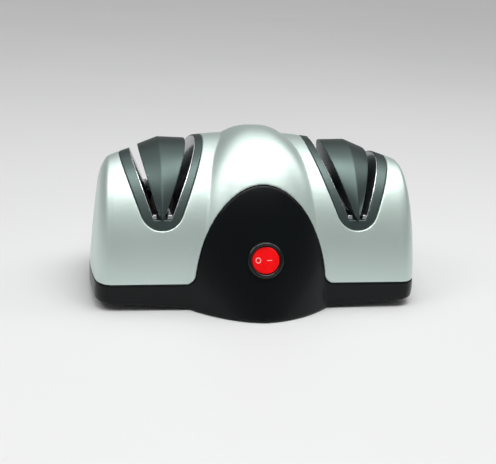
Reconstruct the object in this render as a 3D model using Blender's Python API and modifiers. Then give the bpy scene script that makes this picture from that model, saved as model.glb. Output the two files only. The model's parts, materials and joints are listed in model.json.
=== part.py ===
"""Two-stage electric knife sharpener, modelled as an assembly of separate pieces.

Metres, +Z up. The origin is on the surface the sharpener stands on, below its middle.
+X runs from the coarse station (left) to the fine station (right), and -Y is the front.
"""
import math

import bmesh
import bpy
from mathutils import Matrix, Vector

MM = 0.001
GAP = 0.3 * MM                    # clearance between neighbouring pieces
SMOOTH_ANGLE = 30                 # edges sharper than this stay creased

# Body: two wings with a hood between them. Seen from above the front is straight and the back bowed
HALF_LENGTH = 107.3 * MM          # wings, at the parting line
FRONT_Y = 53.8 * MM               # wings' front, at the parting line
RIDGE_Y = 9.0 * MM                # the wings' highest line lies here in the middle,
RIDGE_CURVE = 1.7                 # and comes forward towards the ends, per metre
PARTING_Z = 17.4 * MM             # black base below, silver casing above
UNDERSIDE_Z = 1.0 * MM            # bottom of the base, held up by the feet
REACH = 100 * MM                  # cutters run this far to each side of the middle
RISE_START = 44 * MM              # beyond here the wings' underside climbs towards the ends
RISE_SLOPE = 0.079
CROWN_Z = 101.5 * MM              # top of the wings if they met in the middle
CROWN_CURVE = 1.25                # their fall towards the ends, per metre
SECTION_POWER = 1.735             # fullness of the wings' section at the stations
SECTION_CHANGE = 2.2              # and how much less it is further out, per metre
PLAN_CORNER = 11 * MM             # rounding of the wings' corners seen from above
SHOULDER = 7 * MM                 # rounding of the wings' outer top edges, along X
SHOULDER_DROP = 13 * MM           # and its height
END_LEAN = 0.055                  # the ends lean inwards by this slope above the parting line,
END_CURVE = 0.6                   # more with height, per metre
END_BULGE = 2.3                   # the ends' bulge in plan, per metre
BASE_BULGE = 0.4 * MM             # and how far the base's ends swell below the parting line
WALL = 2.2 * MM

# Hood: a dome whose height falls with a power of the distance from its middle
HOOD_Z = 108.4 * MM
HOOD_FRONT = 76.8 * MM            # reach at the floor, to the front
HOOD_BACK = 73.5 * MM             # and to the back
HOOD_POWER = 2.24
HOOD_WIDTH_FACTOR = 1.08          # depth over width

# Arched front of the base, an ellipse seen from the front
ARCH_Z = 10.1 * MM
ARCH_HALF_WIDTH = 42.5 * MM
ARCH_HEIGHT = 69.7 * MM
ARCH_FOOT_RADIUS = 7 * MM

# V-shaped stations
STATION_X = 63.4 * MM
V_CENTRE_Z = 65.1 * MM
V_RADIUS = 14.1 * MM
V_SLOPE = 0.411                   # sideways run per unit of height
TROUGH_Z = 57.5 * MM              # floor of the blade slots
TROUGH_WALLS = {"outer": (5.2 * MM, 0.387), "inner": (5.8 * MM, 0.438)}   # foot and slope
FRAME_RIM = 3 * MM                # depth of the frame's visible rim
FRAME_WALL = 2 * MM
WINDOW_HALF_WIDTH = 4.8 * MM      # the wheel comes up through a window in the trough's floor
WEDGE_WALLS = {"outer": (1.35 * MM, 0.332), "inner": (1.0 * MM, 0.406)}   # foot and slope
WEDGE_RIDGE = 2.6 * MM            # how far the crease stands above the wing's surface
WEDGE_EDGE = 0.2 * MM             # how far its edges lie below that surface
WEDGE_TOP_Z = 97 * MM             # about where its edges turn over at the top
GUIDE_THICKNESS = 0.8 * MM
GUIDE_RECESS = 0.6 * MM           # the steel stops this far short of the frame's face

# Drive
SHAFT_Z = 40 * MM
SHAFT_RADIUS = 3 * MM
SHAFT_HALF_LENGTH = 75 * MM
WHEEL_RADIUS = 24 * MM
ROTOR_RADIUS = 14 * MM
CORE_HALF_THICKNESS = 11 * MM
CORE_HALF_WIDTH = 27 * MM

# Switch, square to the arched front
SWITCH_Z = 37.4 * MM
BEZEL_RADIUS = 11.5 * MM
ROCKER_RADIUS = 8.6 * MM
ROCKER_TILT = math.radians(7)     # each way from its middle position
TERMINAL_X = 4.5 * MM

WIRE_STEPS = 4                    # straight pieces between two points of a lead's route

# Fasteners, feet and inlet
SCREW_X = 95 * MM
SCREW_YS = (-34 * MM, 22 * MM)    # front and back pair
POST_TOP = 46 * MM                # the casing's screw posts, ribbed to its end walls
FOOT_X = 78 * MM
FOOT_YS = (-36 * MM, 32 * MM)
FOOT_RADIUS = 6 * MM
INLET_Z = 9.7 * MM
GLAND_FLANGE = 2 * MM             # the gland stands out this far behind its pad

SILVER = ("silver_plastic", (0.62, 0.66, 0.65), 0.32, 0.7)
BLACK = ("black_plastic", (0.012, 0.013, 0.014), 0.35, 0.0)
GREY = ("grey_plastic", (0.10, 0.115, 0.112), 0.45, 0.0)
STEEL = ("polished_steel", (0.75, 0.76, 0.77), 0.15, 1.0)
ZINC = ("zinc_plated", (0.62, 0.62, 0.60), 0.35, 1.0)
RED = ("red_plastic", (0.75, 0.01, 0.01), 0.25, 0.0)
RUBBER = ("rubber", (0.03, 0.03, 0.03), 0.8, 0.0)
COPPER = ("enamelled_copper", (0.55, 0.22, 0.08), 0.35, 0.9)
IRON = ("laminated_iron", (0.25, 0.25, 0.26), 0.5, 0.9)
BRONZE = ("sintered_bronze", (0.45, 0.32, 0.15), 0.5, 0.9)
NYLON = ("white_nylon", (0.75, 0.73, 0.66), 0.5, 0.0)
COARSE = ("coarse_abrasive", (0.11, 0.10, 0.09), 0.9, 0.0)
FINE = ("fine_abrasive", (0.70, 0.70, 0.68), 0.8, 0.0)
BROWN = ("brown_insulation", (0.16, 0.06, 0.03), 0.5, 0.0)
BLUE = ("blue_insulation", (0.02, 0.08, 0.35), 0.5, 0.0)


# ---------------------------------------------------------------- scene helpers

def clear_scene():
    for old in list(bpy.data.objects):
        bpy.data.objects.remove(old, do_unlink=True)


def new_collection(name):
    group = bpy.data.collections.new(name)
    bpy.context.scene.collection.children.link(group)
    return group


def material(spec):
    name, colour, roughness, metallic = spec
    found = bpy.data.materials.get(name)
    if found:
        return found
    made = bpy.data.materials.new(name)
    made.use_nodes = True
    shader = made.node_tree.nodes["Principled BSDF"]
    shader.inputs["Base Color"].default_value = (*colour, 1)
    shader.inputs["Roughness"].default_value = roughness
    shader.inputs["Metallic"].default_value = metallic
    made.diffuse_color = (*colour, 1)
    return made


def add_object(name, bm, group):
    bmesh.ops.recalc_face_normals(bm, faces=bm.faces)
    mesh = bpy.data.meshes.new(name)
    bm.to_mesh(mesh)
    bm.free()
    mesh.shade_smooth()
    mesh.set_sharp_from_angle(angle=math.radians(SMOOTH_ANGLE))
    made = bpy.data.objects.new(name, mesh)
    group.objects.link(made)
    return made


def part(name, bm, spec):
    """One piece of the sharpener, a node of its own."""
    made = add_object(name, bm, PARTS)
    made.data.materials.append(material(spec))
    return made


def cutter(name, bm):
    made = add_object("cut_" + name, bm, CUTTERS)
    made.hide_render = True
    made.display_type = "WIRE"
    return made


def boolean(target, other, operation="DIFFERENCE"):
    step = target.modifiers.new(operation.title(), "BOOLEAN")
    step.object = other
    step.operation = operation
    step.solver = "EXACT"
    return target


# ---------------------------------------------------------------- shape helpers

def box(low, high):
    bm = bmesh.new()
    bmesh.ops.create_cube(bm, size=1)
    low, high = Vector(low), Vector(high)
    bmesh.ops.scale(bm, vec=high - low, verts=bm.verts)
    bmesh.ops.translate(bm, vec=(low + high) / 2, verts=bm.verts)
    return bm


def cylinder(start, end, radius, sides=24, end_radius=None):
    start, end = Vector(start), Vector(end)
    span = end - start
    turn = span.to_track_quat("Z", "Y").to_matrix().to_4x4()
    place = Matrix.Translation((start + end) / 2) @ turn
    bm = bmesh.new()
    bmesh.ops.create_cone(bm, cap_ends=True, segments=sides, radius1=radius,
                          radius2=radius if end_radius is None else end_radius,
                          depth=span.length, matrix=place)
    return bm


def merge(*shapes):
    """Several closed shapes in one mesh, for cutters only."""
    bm = bmesh.new()
    for shape in shapes:
        temp = bpy.data.meshes.new("temp")
        shape.to_mesh(temp)
        shape.free()
        bm.from_mesh(temp)
        bpy.data.meshes.remove(temp)
    return bm


def prism(outline, axis, low, high):
    """A flat outline pushed along one axis. The outline leaves that axis out."""
    def point(pair, height):
        values = list(pair)
        values.insert("xyz".index(axis), height)
        return values
    bm = bmesh.new()
    face = bm.faces.new([bm.verts.new(point(pair, low)) for pair in outline])
    grown = bmesh.ops.extrude_face_region(bm, geom=[face])
    moved = [v for v in grown["geom"] if isinstance(v, bmesh.types.BMVert)]
    bmesh.ops.translate(bm, vec=point((0, 0), high - low), verts=moved)
    return bm


def loft(rings):
    """Rings of equal length joined in order, with both ends closed."""
    bm = bmesh.new()
    loops = [[bm.verts.new(point) for point in ring] for ring in rings]
    for first, second in zip(loops, loops[1:]):
        count = len(first)
        for i in range(count):
            j = (i + 1) % count
            bm.faces.new((first[i], first[j], second[j], second[i]))
    bm.faces.new(loops[0])
    bm.faces.new(loops[-1])
    bmesh.ops.triangulate(bm, faces=bm.faces)
    return bm


def turned(name, profile, spec, centre=(0, 0, 0), axis="Z", sides=32):
    """A closed profile of (radius, height) points, turned about an axis by a Screw modifier."""
    bm = bmesh.new()
    verts = [bm.verts.new((radius, 0, height)) for radius, height in profile]
    closed = min(radius for radius, _ in profile) > 0
    for first, second in zip(verts, verts[1:] + verts[:1] if closed else verts[1:]):
        bm.edges.new((first, second))
    made = part(name, bm, spec)
    made.location = centre
    if axis == "X":
        made.rotation_euler = (0, math.pi / 2, 0)
    elif axis == "-X":
        made.rotation_euler = (0, -math.pi / 2, 0)
    elif axis == "Y":
        made.rotation_euler = (-math.pi / 2, 0, 0)
    spin = made.modifiers.new("Turn", "SCREW")
    spin.steps = sides
    spin.render_steps = sides
    spin.use_merge_vertices = True
    spin.merge_threshold = 0.00001
    return made


def arc(centre, radius, start, end, steps):
    """Points along an arc, angles in degrees."""
    points = []
    for i in range(steps + 1):
        angle = math.radians(start + (end - start) * i / steps)
        points.append((centre[0] + radius * math.cos(angle), centre[1] + radius * math.sin(angle)))
    return points


def ring_profile(inner, outer, low, high):
    """Cross-section of a plain ring, running down its outer side."""
    return [(outer, high), (outer, low), (inner, low), (inner, high)]


# ---------------------------------------------------------------- body surface

def rounding(distance, radius):
    """How far a quarter-round edge has fallen at a distance into it."""
    reach = min(max(distance, 0), radius)
    return radius - math.sqrt(max(radius * radius - reach * reach, 0))


def wing_crown(x, inset=0):
    return CROWN_Z - CROWN_CURVE * x * x - inset


def wing_power(x):
    return SECTION_POWER - SECTION_CHANGE * (abs(x) - 60 * MM)


def wing_ridge(x):
    """Where the wings are highest, from front to back."""
    return RIDGE_Y - RIDGE_CURVE * x * x


def wing_depth(x):
    """Half depth of the wings at the parting line."""
    return FRONT_Y + wing_ridge(x)


def wing_underside(x):
    return UNDERSIDE_Z + max(0, abs(x) - RISE_START) * RISE_SLOPE


def place_station(x, y, z, length):
    """Lean the ends inwards and bulge them in plan; the middle stays where it is."""
    weight = (abs(x) / length) ** 4
    above = z - PARTING_Z
    if above > 0:
        lean = above * (END_LEAN + END_CURVE * above) / HALF_LENGTH
    else:
        swell = math.sin(math.pi * min(-above / (12 * MM), 1))
        lean = -BASE_BULGE / HALF_LENGTH * swell
    bulge = END_BULGE * (y - wing_ridge(length)) ** 2 * weight * weight
    return (x * (1 - lean * weight) - math.copysign(bulge, x), y, z)


def wing_section(x, inset, bottom, steps):
    """Points of one section as (y, z), from the front's bottom edge over the top and back."""
    length = HALF_LENGTH - inset
    depth = wing_depth(x) - inset - rounding(abs(x) - length + PLAN_CORNER, PLAN_CORNER)
    crown = wing_crown(x, inset)
    crown -= rounding(abs(x) - length + SHOULDER, SHOULDER) * SHOULDER_DROP / SHOULDER
    ridge = wing_ridge(x)
    low = wing_underside(x) + bottom
    middle = (low + PARTING_Z) / 2
    points = [(ridge - depth, low), (ridge - depth, middle)]
    for i in range(2 * steps + 1):
        angle = math.pi / 2 * i / steps
        rise = max(math.sin(angle), 0) ** (2 / wing_power(x))
        points.append((ridge - depth * math.cos(angle), PARTING_Z + (crown - PARTING_Z) * rise))
    points += [(ridge + depth, middle), (ridge + depth, low)]
    return points + [(ridge + depth * share, low) for share in (0.6, 0.2, -0.2, -0.6)]


def wing_stations(length):
    middle = length - SHOULDER
    inner = [0, RISE_START / 2] + [RISE_START + (middle - RISE_START) * i / 6 for i in range(7)]
    corner = [middle + SHOULDER * math.sin(math.radians(a)) for a in (28, 50, 68, 80, 90)]
    half = inner[1:] + corner
    return [-x for x in reversed(half)] + [0] + half


def wing_body(inset=0, bottom=0, steps=8):
    """The two wings as one closed body, base included. bottom is measured from their underside."""
    length = HALF_LENGTH - inset
    rings = []
    for x in wing_stations(length):
        rings.append([place_station(x, y, z, length) for y, z in wing_section(x, inset, bottom, steps)])
    for side in (-1, 1):
        section = wing_section(length, inset, bottom, steps)
        ridge = wing_ridge(length)
        for share in (0.8, 0.55, 0.3, 0.1):
            ring = []
            for y, z in section:
                across = ridge + (y - ridge) * share
                height = 40 * MM + (z - 40 * MM) * share
                ring.append(place_station(side * length, across, height, length))
            if side < 0:
                rings.insert(0, ring)
            else:
                rings.append(ring)
    return loft(rings)


def hood_body(inset=0, bottom=0, levels=12, sides=44):
    """The hood as a closed body, base included: a stack of rounded rings."""
    height, front, back = HOOD_Z - inset, HOOD_FRONT - inset * 1.15, HOOD_BACK - inset * 1.15
    lowest = (1 - (UNDERSIDE_Z + bottom) / height) ** (1 / HOOD_POWER)
    rings = []
    for level in range(levels):
        size = lowest * math.cos(math.pi / 2 * level / (levels - 0.6))
        z = height * (1 - size ** HOOD_POWER)
        power = 2 / (1.72 + 1.5 * z / height)
        ring = []
        for i in range(sides):
            angle = 2 * math.pi * i / sides
            across, along = math.cos(angle), math.sin(angle)
            x = math.copysign(abs(across) ** power, across) * size * front / HOOD_WIDTH_FACTOR
            reach = front if along < 0 else back
            y = math.copysign(abs(along) ** power, along) * size * reach
            ring.append((x, y, z))
        rings.append(ring)
    return loft(rings)


def hood_front(z):
    return HOOD_FRONT * (1 - z / HOOD_Z) ** (1 / HOOD_POWER)


def arch_outline(grow):
    """The arched front seen along Y, larger or smaller than nominal by grow, with flared feet."""
    half, height = ARCH_HALF_WIDTH + grow, ARCH_HEIGHT + grow
    foot = PARTING_Z + ARCH_FOOT_RADIUS
    low = math.degrees(math.asin((foot - ARCH_Z) / height))
    points = []
    for i in range(25):
        angle = math.radians(low + (180 - 2 * low) * i / 24)
        points.append((half * math.cos(angle), ARCH_Z + height * math.sin(angle)))
    radius = ARCH_FOOT_RADIUS
    flare = [(radius * (1 - math.cos(a)), radius * (1 - math.sin(a)))
             for a in (math.radians(d) for d in (15, 35, 55, 75, 90))]
    edge = points[0][0]
    right = [(edge + dx, PARTING_Z + dz) for dx, dz in flare]
    left = [(-x, z) for x, z in reversed(right)]
    bottom = 5 * MM
    corner = right[-1][0]
    return [(corner, bottom)] + right[::-1] + points + left[::-1] + [(-corner, bottom)]


def v_outline(shrink, top):
    """The rounded V of a station seen along Y, open upwards at the height given."""
    radius = V_RADIUS - shrink
    lean = math.degrees(math.atan(V_SLOPE))
    curve = arc((0, V_CENTRE_Z), radius, 180 + lean, 360 - lean, 14)
    edge_x, edge_z = curve[-1]
    reach = edge_x + (top - edge_z) * V_SLOPE
    return [(-reach, top)] + curve + [(reach, top)]


def shifted(outline, offset):
    return [(x + offset, z) for x, z in outline]


# ---------------------------------------------------------------- casing

def screw_places():
    return [(side * SCREW_X, y) for side in (-1, 1) for y in SCREW_YS]


def upper_casing():
    shell = part("upper_casing", wing_body(), SILVER)
    boolean(shell, cutter("hood_outside", hood_body()), "UNION")
    boolean(shell, cutter("wings_inside", wing_body(WALL, WALL, 5)))
    boolean(shell, cutter("hood_inside", hood_body(WALL, WALL, 8, 24)))
    for i, (x, y) in enumerate(screw_places()):
        post = cylinder((x, y, PARTING_Z), (x, y, POST_TOP), 3.8 * MM, 12)
        boolean(shell, cutter(f"upper_post_{i}", post), "UNION")
        wall = abs(place_station(HALF_LENGTH, y, POST_TOP, HALF_LENGTH)[0]) - WALL / 2
        near, far = sorted((x, math.copysign(wall, x)))
        rib = box((near, y - MM, PARTING_Z), (far, y + MM, POST_TOP - MM))
        boolean(shell, cutter(f"upper_rib_{i}", rib), "UNION")
    holes = [cylinder((x, y, 0), (x, y, 32 * MM), 1.7 * MM, 8) for x, y in screw_places()]
    boolean(shell, cutter("upper_screw_holes", merge(*holes)))
    far = 2 * REACH
    boolean(shell, cutter("below_parting", box((-far, -far, -far), (far, far, PARTING_Z + GAP))))
    arch = prism(arch_outline(GAP), "y", -REACH, -10 * MM)
    boolean(shell, cutter("arch_opening", arch))
    for side in (-1, 1):
        notch = prism(shifted(v_outline(0, 120 * MM), side * STATION_X), "y", -REACH, REACH)
        boolean(shell, cutter(f"v_opening_{side}", notch))


def base_casing():
    tray = part("base_casing", wing_body(), BLACK)
    boolean(tray, cutter("base_hood", hood_body()), "UNION")
    far = 2 * REACH
    region = cutter("base_region", box((-far, -far, -20 * MM), (far, far, PARTING_Z)))
    boolean(region, cutter("arch_region", prism(arch_outline(0), "y", -REACH, -10 * MM)), "UNION")
    boolean(tray, region, "INTERSECT")
    pad = cylinder((0, 60 * MM, INLET_Z), (0, inlet_face(), INLET_Z), 7.4 * MM, 24)
    boolean(tray, cutter("inlet_pad", pad), "UNION")
    boolean(tray, cutter("base_inside", wing_body(WALL, WALL, 4)))
    boolean(tray, cutter("base_hood_inside", hood_body(WALL, WALL, 8, 24)))
    add_base_posts(tray)
    cut_base_holes(tray)


def inlet_face():
    """Back face of the inlet's pad: the gland on it ends as far back as the hood does in front."""
    return hood_front(UNDERSIDE_Z) - GAP - GLAND_FLANGE


def motor_posts():
    return [(sx * 17 * MM, sy * 22.5 * MM) for sx in (-1, 1) for sy in (-1, 1)]


def add_base_posts(tray):
    for i, (x, y) in enumerate(screw_places()):
        post = cylinder((x, y, 2 * MM), (x, y, PARTING_Z - 0.2 * MM), 5 * MM, 12)
        boolean(tray, cutter(f"base_post_{i}", post), "UNION")
    for i, (x, y) in enumerate(motor_posts()):
        post = cylinder((x, y, 2 * MM), (x, y, 19.7 * MM), 4 * MM, 10)
        boolean(tray, cutter(f"motor_post_{i}", post), "UNION")


def cut_base_holes(tray):
    holes = []
    for x, y in screw_places():
        holes.append(cylinder((x, y, -5 * MM), (x, y, 8 * MM), 3.7 * MM, 12))
        holes.append(cylinder((x, y, 7 * MM), (x, y, 30 * MM), 1.8 * MM, 8))
    boolean(tray, cutter("base_screw_holes", merge(*holes[0::2])))
    boolean(tray, cutter("base_screw_shanks", merge(*holes[1::2])))
    pilots = [cylinder((x, y, 9 * MM), (x, y, 30 * MM), 1.8 * MM, 8) for x, y in motor_posts()]
    boolean(tray, cutter("motor_screw_holes", merge(*pilots)))
    sockets = [cylinder((x, y, -5 * MM), (x, y, 2.3 * MM), FOOT_RADIUS + GAP, 20)
               for x, y in foot_places()]
    boolean(tray, cutter("foot_sockets", merge(*sockets)))
    inlet = cylinder((0, 50 * MM, INLET_Z), (0, 90 * MM, INLET_Z), 5.1 * MM, 24)
    boolean(tray, cutter("inlet_hole", inlet))
    opening = cylinder(switch_point(-30 * MM), switch_point(10 * MM), 10 * MM, 32)
    boolean(tray, cutter("switch_hole", opening))
    vents = []
    for i in range(7):
        x = (i - 3) * 7 * MM
        vents.append(box((x - 1.4 * MM, -14 * MM, -5 * MM), (x + 1.4 * MM, 12 * MM, 8 * MM)))
    boolean(tray, cutter("floor_vents", merge(*vents)))


def foot_places():
    return [(side * FOOT_X, y) for side in (-1, 1) for y in FOOT_YS]


def feet():
    names = ("foot_left_front", "foot_left_back", "foot_right_front", "foot_right_back")
    for name, (x, y) in zip(names, foot_places()):
        profile = [(0, 2.0 * MM), (FOOT_RADIUS, 2.0 * MM), (FOOT_RADIUS, 0.5 * MM),
                   (FOOT_RADIUS - 0.5 * MM, 0), (0, 0)]
        turned(name, profile, RUBBER, (x, y, 0), sides=20)


def casing_screws():
    names = ("left_front", "left_back", "right_front", "right_back")
    for name, (x, y) in zip(names, screw_places()):
        profile = [(0, 29 * MM), (0.6 * MM, 29 * MM), (1.4 * MM, 27 * MM), (1.4 * MM, 7.7 * MM),
                   (3.2 * MM, 7.7 * MM), (3.2 * MM, 6.2 * MM), (2.4 * MM, 5.4 * MM), (0, 5.4 * MM)]
        turned(f"casing_screw_{name}", profile, ZINC, (x, y, 0), sides=10)


# ---------------------------------------------------------------- stations

def guide_frame(name, side):
    """V-shaped insert: a trough for the blade, with a pocket for a steel liner in each wall."""
    def through(outline):
        return prism(shifted(outline, side * STATION_X), "y", -REACH, REACH)
    frame = part(name, through(v_outline(GAP, 120 * MM)), GREY)
    boolean(frame, cutter(name + "_face", wing_body()), "INTERSECT")
    pocket = trough_outline(side, GUIDE_THICKNESS + GAP, TROUGH_Z + 0.1 * MM, 120 * MM)
    pocket = cutter(name + "_pocket", through(pocket))
    boolean(pocket, cutter(name + "_pocket_face", wing_body(GUIDE_RECESS - GAP)), "INTERSECT")
    boolean(frame, pocket)
    trough = trough_outline(side, 0, TROUGH_Z, 130 * MM)
    boolean(frame, cutter(name + "_trough", through(trough)))
    left, right = side * STATION_X - WINDOW_HALF_WIDTH, side * STATION_X + WINDOW_HALF_WIDTH
    window = box((left, -22 * MM, 50 * MM), (right, 22 * MM, TROUGH_Z + 0.7 * MM))
    boolean(frame, cutter(name + "_window", window))
    relief = cutter(name + "_relief", relief_band(side))
    boolean(relief, cutter(name + "_inside", wing_body(FRAME_RIM, FRAME_RIM)), "INTERSECT")
    boolean(frame, relief)


def half_width(walls, side, way, z):
    """Distance from a station's middle to its wall at a height. way is -1 or 1."""
    foot, slope = walls["outer" if way == side else "inner"]
    return foot + (z - TROUGH_Z) * slope


def trough_outline(side, grow, low, high):
    """The blade trough seen along Y, widened by grow: flat floor and two leaning walls."""
    corners = ((-1, high), (-1, low), (1, low), (1, high))
    return [(way * (half_width(TROUGH_WALLS, side, way, z) + grow), z) for way, z in corners]


def relief_band(side):
    """U-shaped band behind the frame's rim, between the trough's wall and the casing."""
    top = 125 * MM
    inner = trough_outline(side, FRAME_WALL, TROUGH_Z - FRAME_WALL, top)
    outer = v_outline(-1 * MM, top)
    return prism(shifted(outer + inner[::-1], side * STATION_X), "y", -REACH, REACH)


def guide_outline(side, way):
    """A steel liner seen along Y, in one wall of the trough. way is -1 or 1."""
    low, high = TROUGH_Z + 0.4 * MM, 120 * MM
    corners = ((low, 0), (low, GUIDE_THICKNESS), (high, GUIDE_THICKNESS), (high, 0))
    return [(way * (half_width(TROUGH_WALLS, side, way, z) + depth), z) for z, depth in corners]


def steel_guide(name, side, way):
    """Slot liner: a leaning plate whose lower edge folds inwards, with a tab at each end."""
    centre = side * STATION_X
    low = TROUGH_Z + 0.4 * MM
    outline = shifted(guide_outline(side, way), centre)
    plate = part(name, prism(outline, "y", -REACH, REACH), STEEL)
    root = half_width(TROUGH_WALLS, side, way, low) + 0.4 * MM
    folds = (("foot", 26 * MM, 3.5 * MM, low, 0.7 * MM),
             ("tab", 43.2 * MM, 3.6 * MM, low + 0.1 * MM, 2.2 * MM))
    for label, start, near, base, height in folds:
        left, right = sorted((centre + way * near, centre + way * root))
        for end in (-1, 1):
            front, back = sorted((wing_ridge(STATION_X) + end * start, end * REACH))
            fold = box((left, front, base), (right, back, base + height))
            boolean(plate, cutter(f"{name}_{label}_{end}", fold), "UNION")
    boolean(plate, cutter(name + "_face", wing_body(GUIDE_RECESS)), "INTERSECT")


def wedge_rail(side, way, inset, floor, steps=9):
    """One long edge of the wedge, from its front foot over the top to its back foot."""
    x = side * STATION_X
    lift = WEDGE_RIDGE if way == 0 else -WEDGE_EDGE
    crown = wing_crown(x + way * half_width(WEDGE_WALLS, side, way, WEDGE_TOP_Z)) + lift - inset
    points = []
    for i in range(2 * steps + 1):
        share = abs(i / steps - 1)
        z = crown - (crown - floor) * share ** 1.6
        reach = (z - PARTING_Z) / (crown - PARTING_Z)
        depth = (wing_depth(x) - inset + lift) * math.sqrt(max(1 - reach ** wing_power(x), 0))
        sideways = way * max(half_width(WEDGE_WALLS, side, way, z) - inset * 1.05, 0.4 * MM)
        end = 0 if i == steps else math.copysign(depth, i - steps)
        points.append((x + sideways, wing_ridge(x) + end, z))
    return points


def wedge_body(side, inset, floor):
    """Closed body between the two edges and the crease of a wedge."""
    left, middle, right = (wedge_rail(side, way, inset, floor) for way in (-1, 0, 1))
    rings = [[a, b, c] for a, b, c in zip(left, middle, right)]
    bm = bmesh.new()
    rows = [[bm.verts.new(point) for point in ring] for ring in rings]
    for first, second in zip(rows, rows[1:]):
        for i in (0, 1):
            bm.faces.new((first[i], first[i + 1], second[i + 1], second[i]))
    for column in (0, 2):
        bm.faces.new([row[column] for row in rows])
    bm.faces.new((rows[0][0], rows[0][1], rows[0][2], rows[-1][2], rows[-1][1], rows[-1][0]))
    bmesh.ops.remove_doubles(bm, verts=bm.verts, dist=0.00001)
    bmesh.ops.triangulate(bm, faces=bm.faces)
    return bm


def blade_wedge(name, side):
    wedge = part(name, wedge_body(side, 0, TROUGH_Z + GAP), GREY)
    boolean(wedge, cutter(name + "_hollow", wedge_body(side, 2 * MM, 60 * MM)))
    x = side * STATION_X
    swept = cylinder((x - 6 * MM, 0, SHAFT_Z), (x + 6 * MM, 0, SHAFT_Z), WHEEL_RADIUS + 1 * MM, 32)
    boolean(wedge, cutter(name + "_wheel_room", swept))


# ---------------------------------------------------------------- drive

def grinding_wheel(name, side, spec):
    rim, bore, hub = WHEEL_RADIUS, SHAFT_RADIUS + GAP / 2, 4.5 * MM
    profile = [(12 * MM, hub), (17.5 * MM, 3.4 * MM), (rim, 1.4 * MM), (rim, -1.4 * MM),
               (17.5 * MM, -3.4 * MM), (12 * MM, -hub), (bore, -hub), (bore, hub)]
    turned(name, profile, spec, (side * STATION_X, 0, SHAFT_Z), "X", 36)


def wheel_fasteners(label, side):
    bore = SHAFT_RADIUS + GAP / 2
    hub = 4.5 * MM + GAP
    def ring(name, inner, outer, start, length, spec):
        near, far = STATION_X + start, STATION_X + start + length
        low, high = sorted((side * near, side * far))
        turned(name, ring_profile(inner, outer, low, high), spec, (0, 0, SHAFT_Z), "X", 16)
    ring(f"wheel_collar_{label}", bore, 6 * MM, -hub - 6 * MM, 6 * MM, ZINC)
    ring(f"wheel_washer_{label}", bore, 7 * MM, hub, 1 * MM, ZINC)
    low, high = sorted(side * (STATION_X + hub + d) for d in (1 * MM + GAP, 5 * MM + GAP))
    nut = part(f"wheel_nut_{label}", cylinder((low, 0, SHAFT_Z), (high, 0, SHAFT_Z), 5.6 * MM, 6), ZINC)
    hole = cylinder((low - MM, 0, SHAFT_Z), (high + MM, 0, SHAFT_Z), bore, 16)
    boolean(nut, cutter(f"nut_hole_{label}", hole))


def motor_shaft():
    end = SHAFT_HALF_LENGTH
    profile = [(0, end), (SHAFT_RADIUS - 0.5 * MM, end), (SHAFT_RADIUS, end - 0.5 * MM),
               (SHAFT_RADIUS, 0.5 * MM - end), (SHAFT_RADIUS - 0.5 * MM, -end), (0, -end)]
    turned("motor_shaft", profile, STEEL, (0, 0, SHAFT_Z), "X", 16)


def rotor_core():
    bore = SHAFT_RADIUS + GAP / 2
    profile = [(11 * MM, 13.5 * MM), (11.5 * MM, 11 * MM), (ROTOR_RADIUS, 11 * MM), (ROTOR_RADIUS, -11 * MM),
               (11.5 * MM, -11 * MM), (11 * MM, -13.5 * MM), (bore, -13.5 * MM), (bore, 13.5 * MM)]
    turned("rotor_core", profile, IRON, (0, 0, SHAFT_Z), "X", 24)


def stator_core():
    half = CORE_HALF_THICKNESS
    low, high = SHAFT_Z - 18 * MM, 86 * MM
    core = part("stator_core", box((-half, -CORE_HALF_WIDTH, low), (half, CORE_HALF_WIDTH, high)), IRON)
    bore = cylinder((-30 * MM, 0, SHAFT_Z), (30 * MM, 0, SHAFT_Z), ROTOR_RADIUS + 0.5 * MM, 24)
    boolean(core, cutter("rotor_bore", bore))
    window = box((-30 * MM, -18 * MM, 59 * MM), (30 * MM, 18 * MM, 74 * MM))
    boolean(core, cutter("core_window", window))
    bolts = [cylinder((-30 * MM, y, SHAFT_Z), (30 * MM, y, SHAFT_Z), 1.9 * MM, 8)
             for y in bracket_screw_rows()]
    boolean(core, cutter("core_bolt_holes", merge(*bolts)))


def bracket_screw_rows():
    return (-22.5 * MM, 22.5 * MM)


def coil():
    """Bobbin round the core's upper limb, and the winding on it."""
    half, low, high = CORE_HALF_THICKNESS, 74 * MM, 86 * MM
    def sleeve(grow, reach):
        return box((-half - grow, -reach, low - grow), (half + grow, reach, high + grow))
    bobbin = part("coil_bobbin", sleeve(1.5 * MM, 17.5 * MM), NYLON)
    for y in (-1, 1):
        near, far = sorted((y * 16 * MM, y * 17.5 * MM))
        flange = box((-half - 9 * MM, near, low - 9 * MM), (half + 9 * MM, far, high + 9 * MM))
        boolean(bobbin, cutter(f"bobbin_flange_{y}", flange), "UNION")
    limb = sleeve(GAP, 30 * MM)
    boolean(bobbin, cutter("bobbin_limb", limb))
    winding = part("coil_winding", sleeve(8 * MM, 15.7 * MM), COPPER)
    edge = winding.modifiers.new("Round", "BEVEL")
    edge.width = 3 * MM
    edge.segments = 2
    boolean(winding, cutter("winding_core", sleeve(1.5 * MM + GAP, 30 * MM)))


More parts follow.
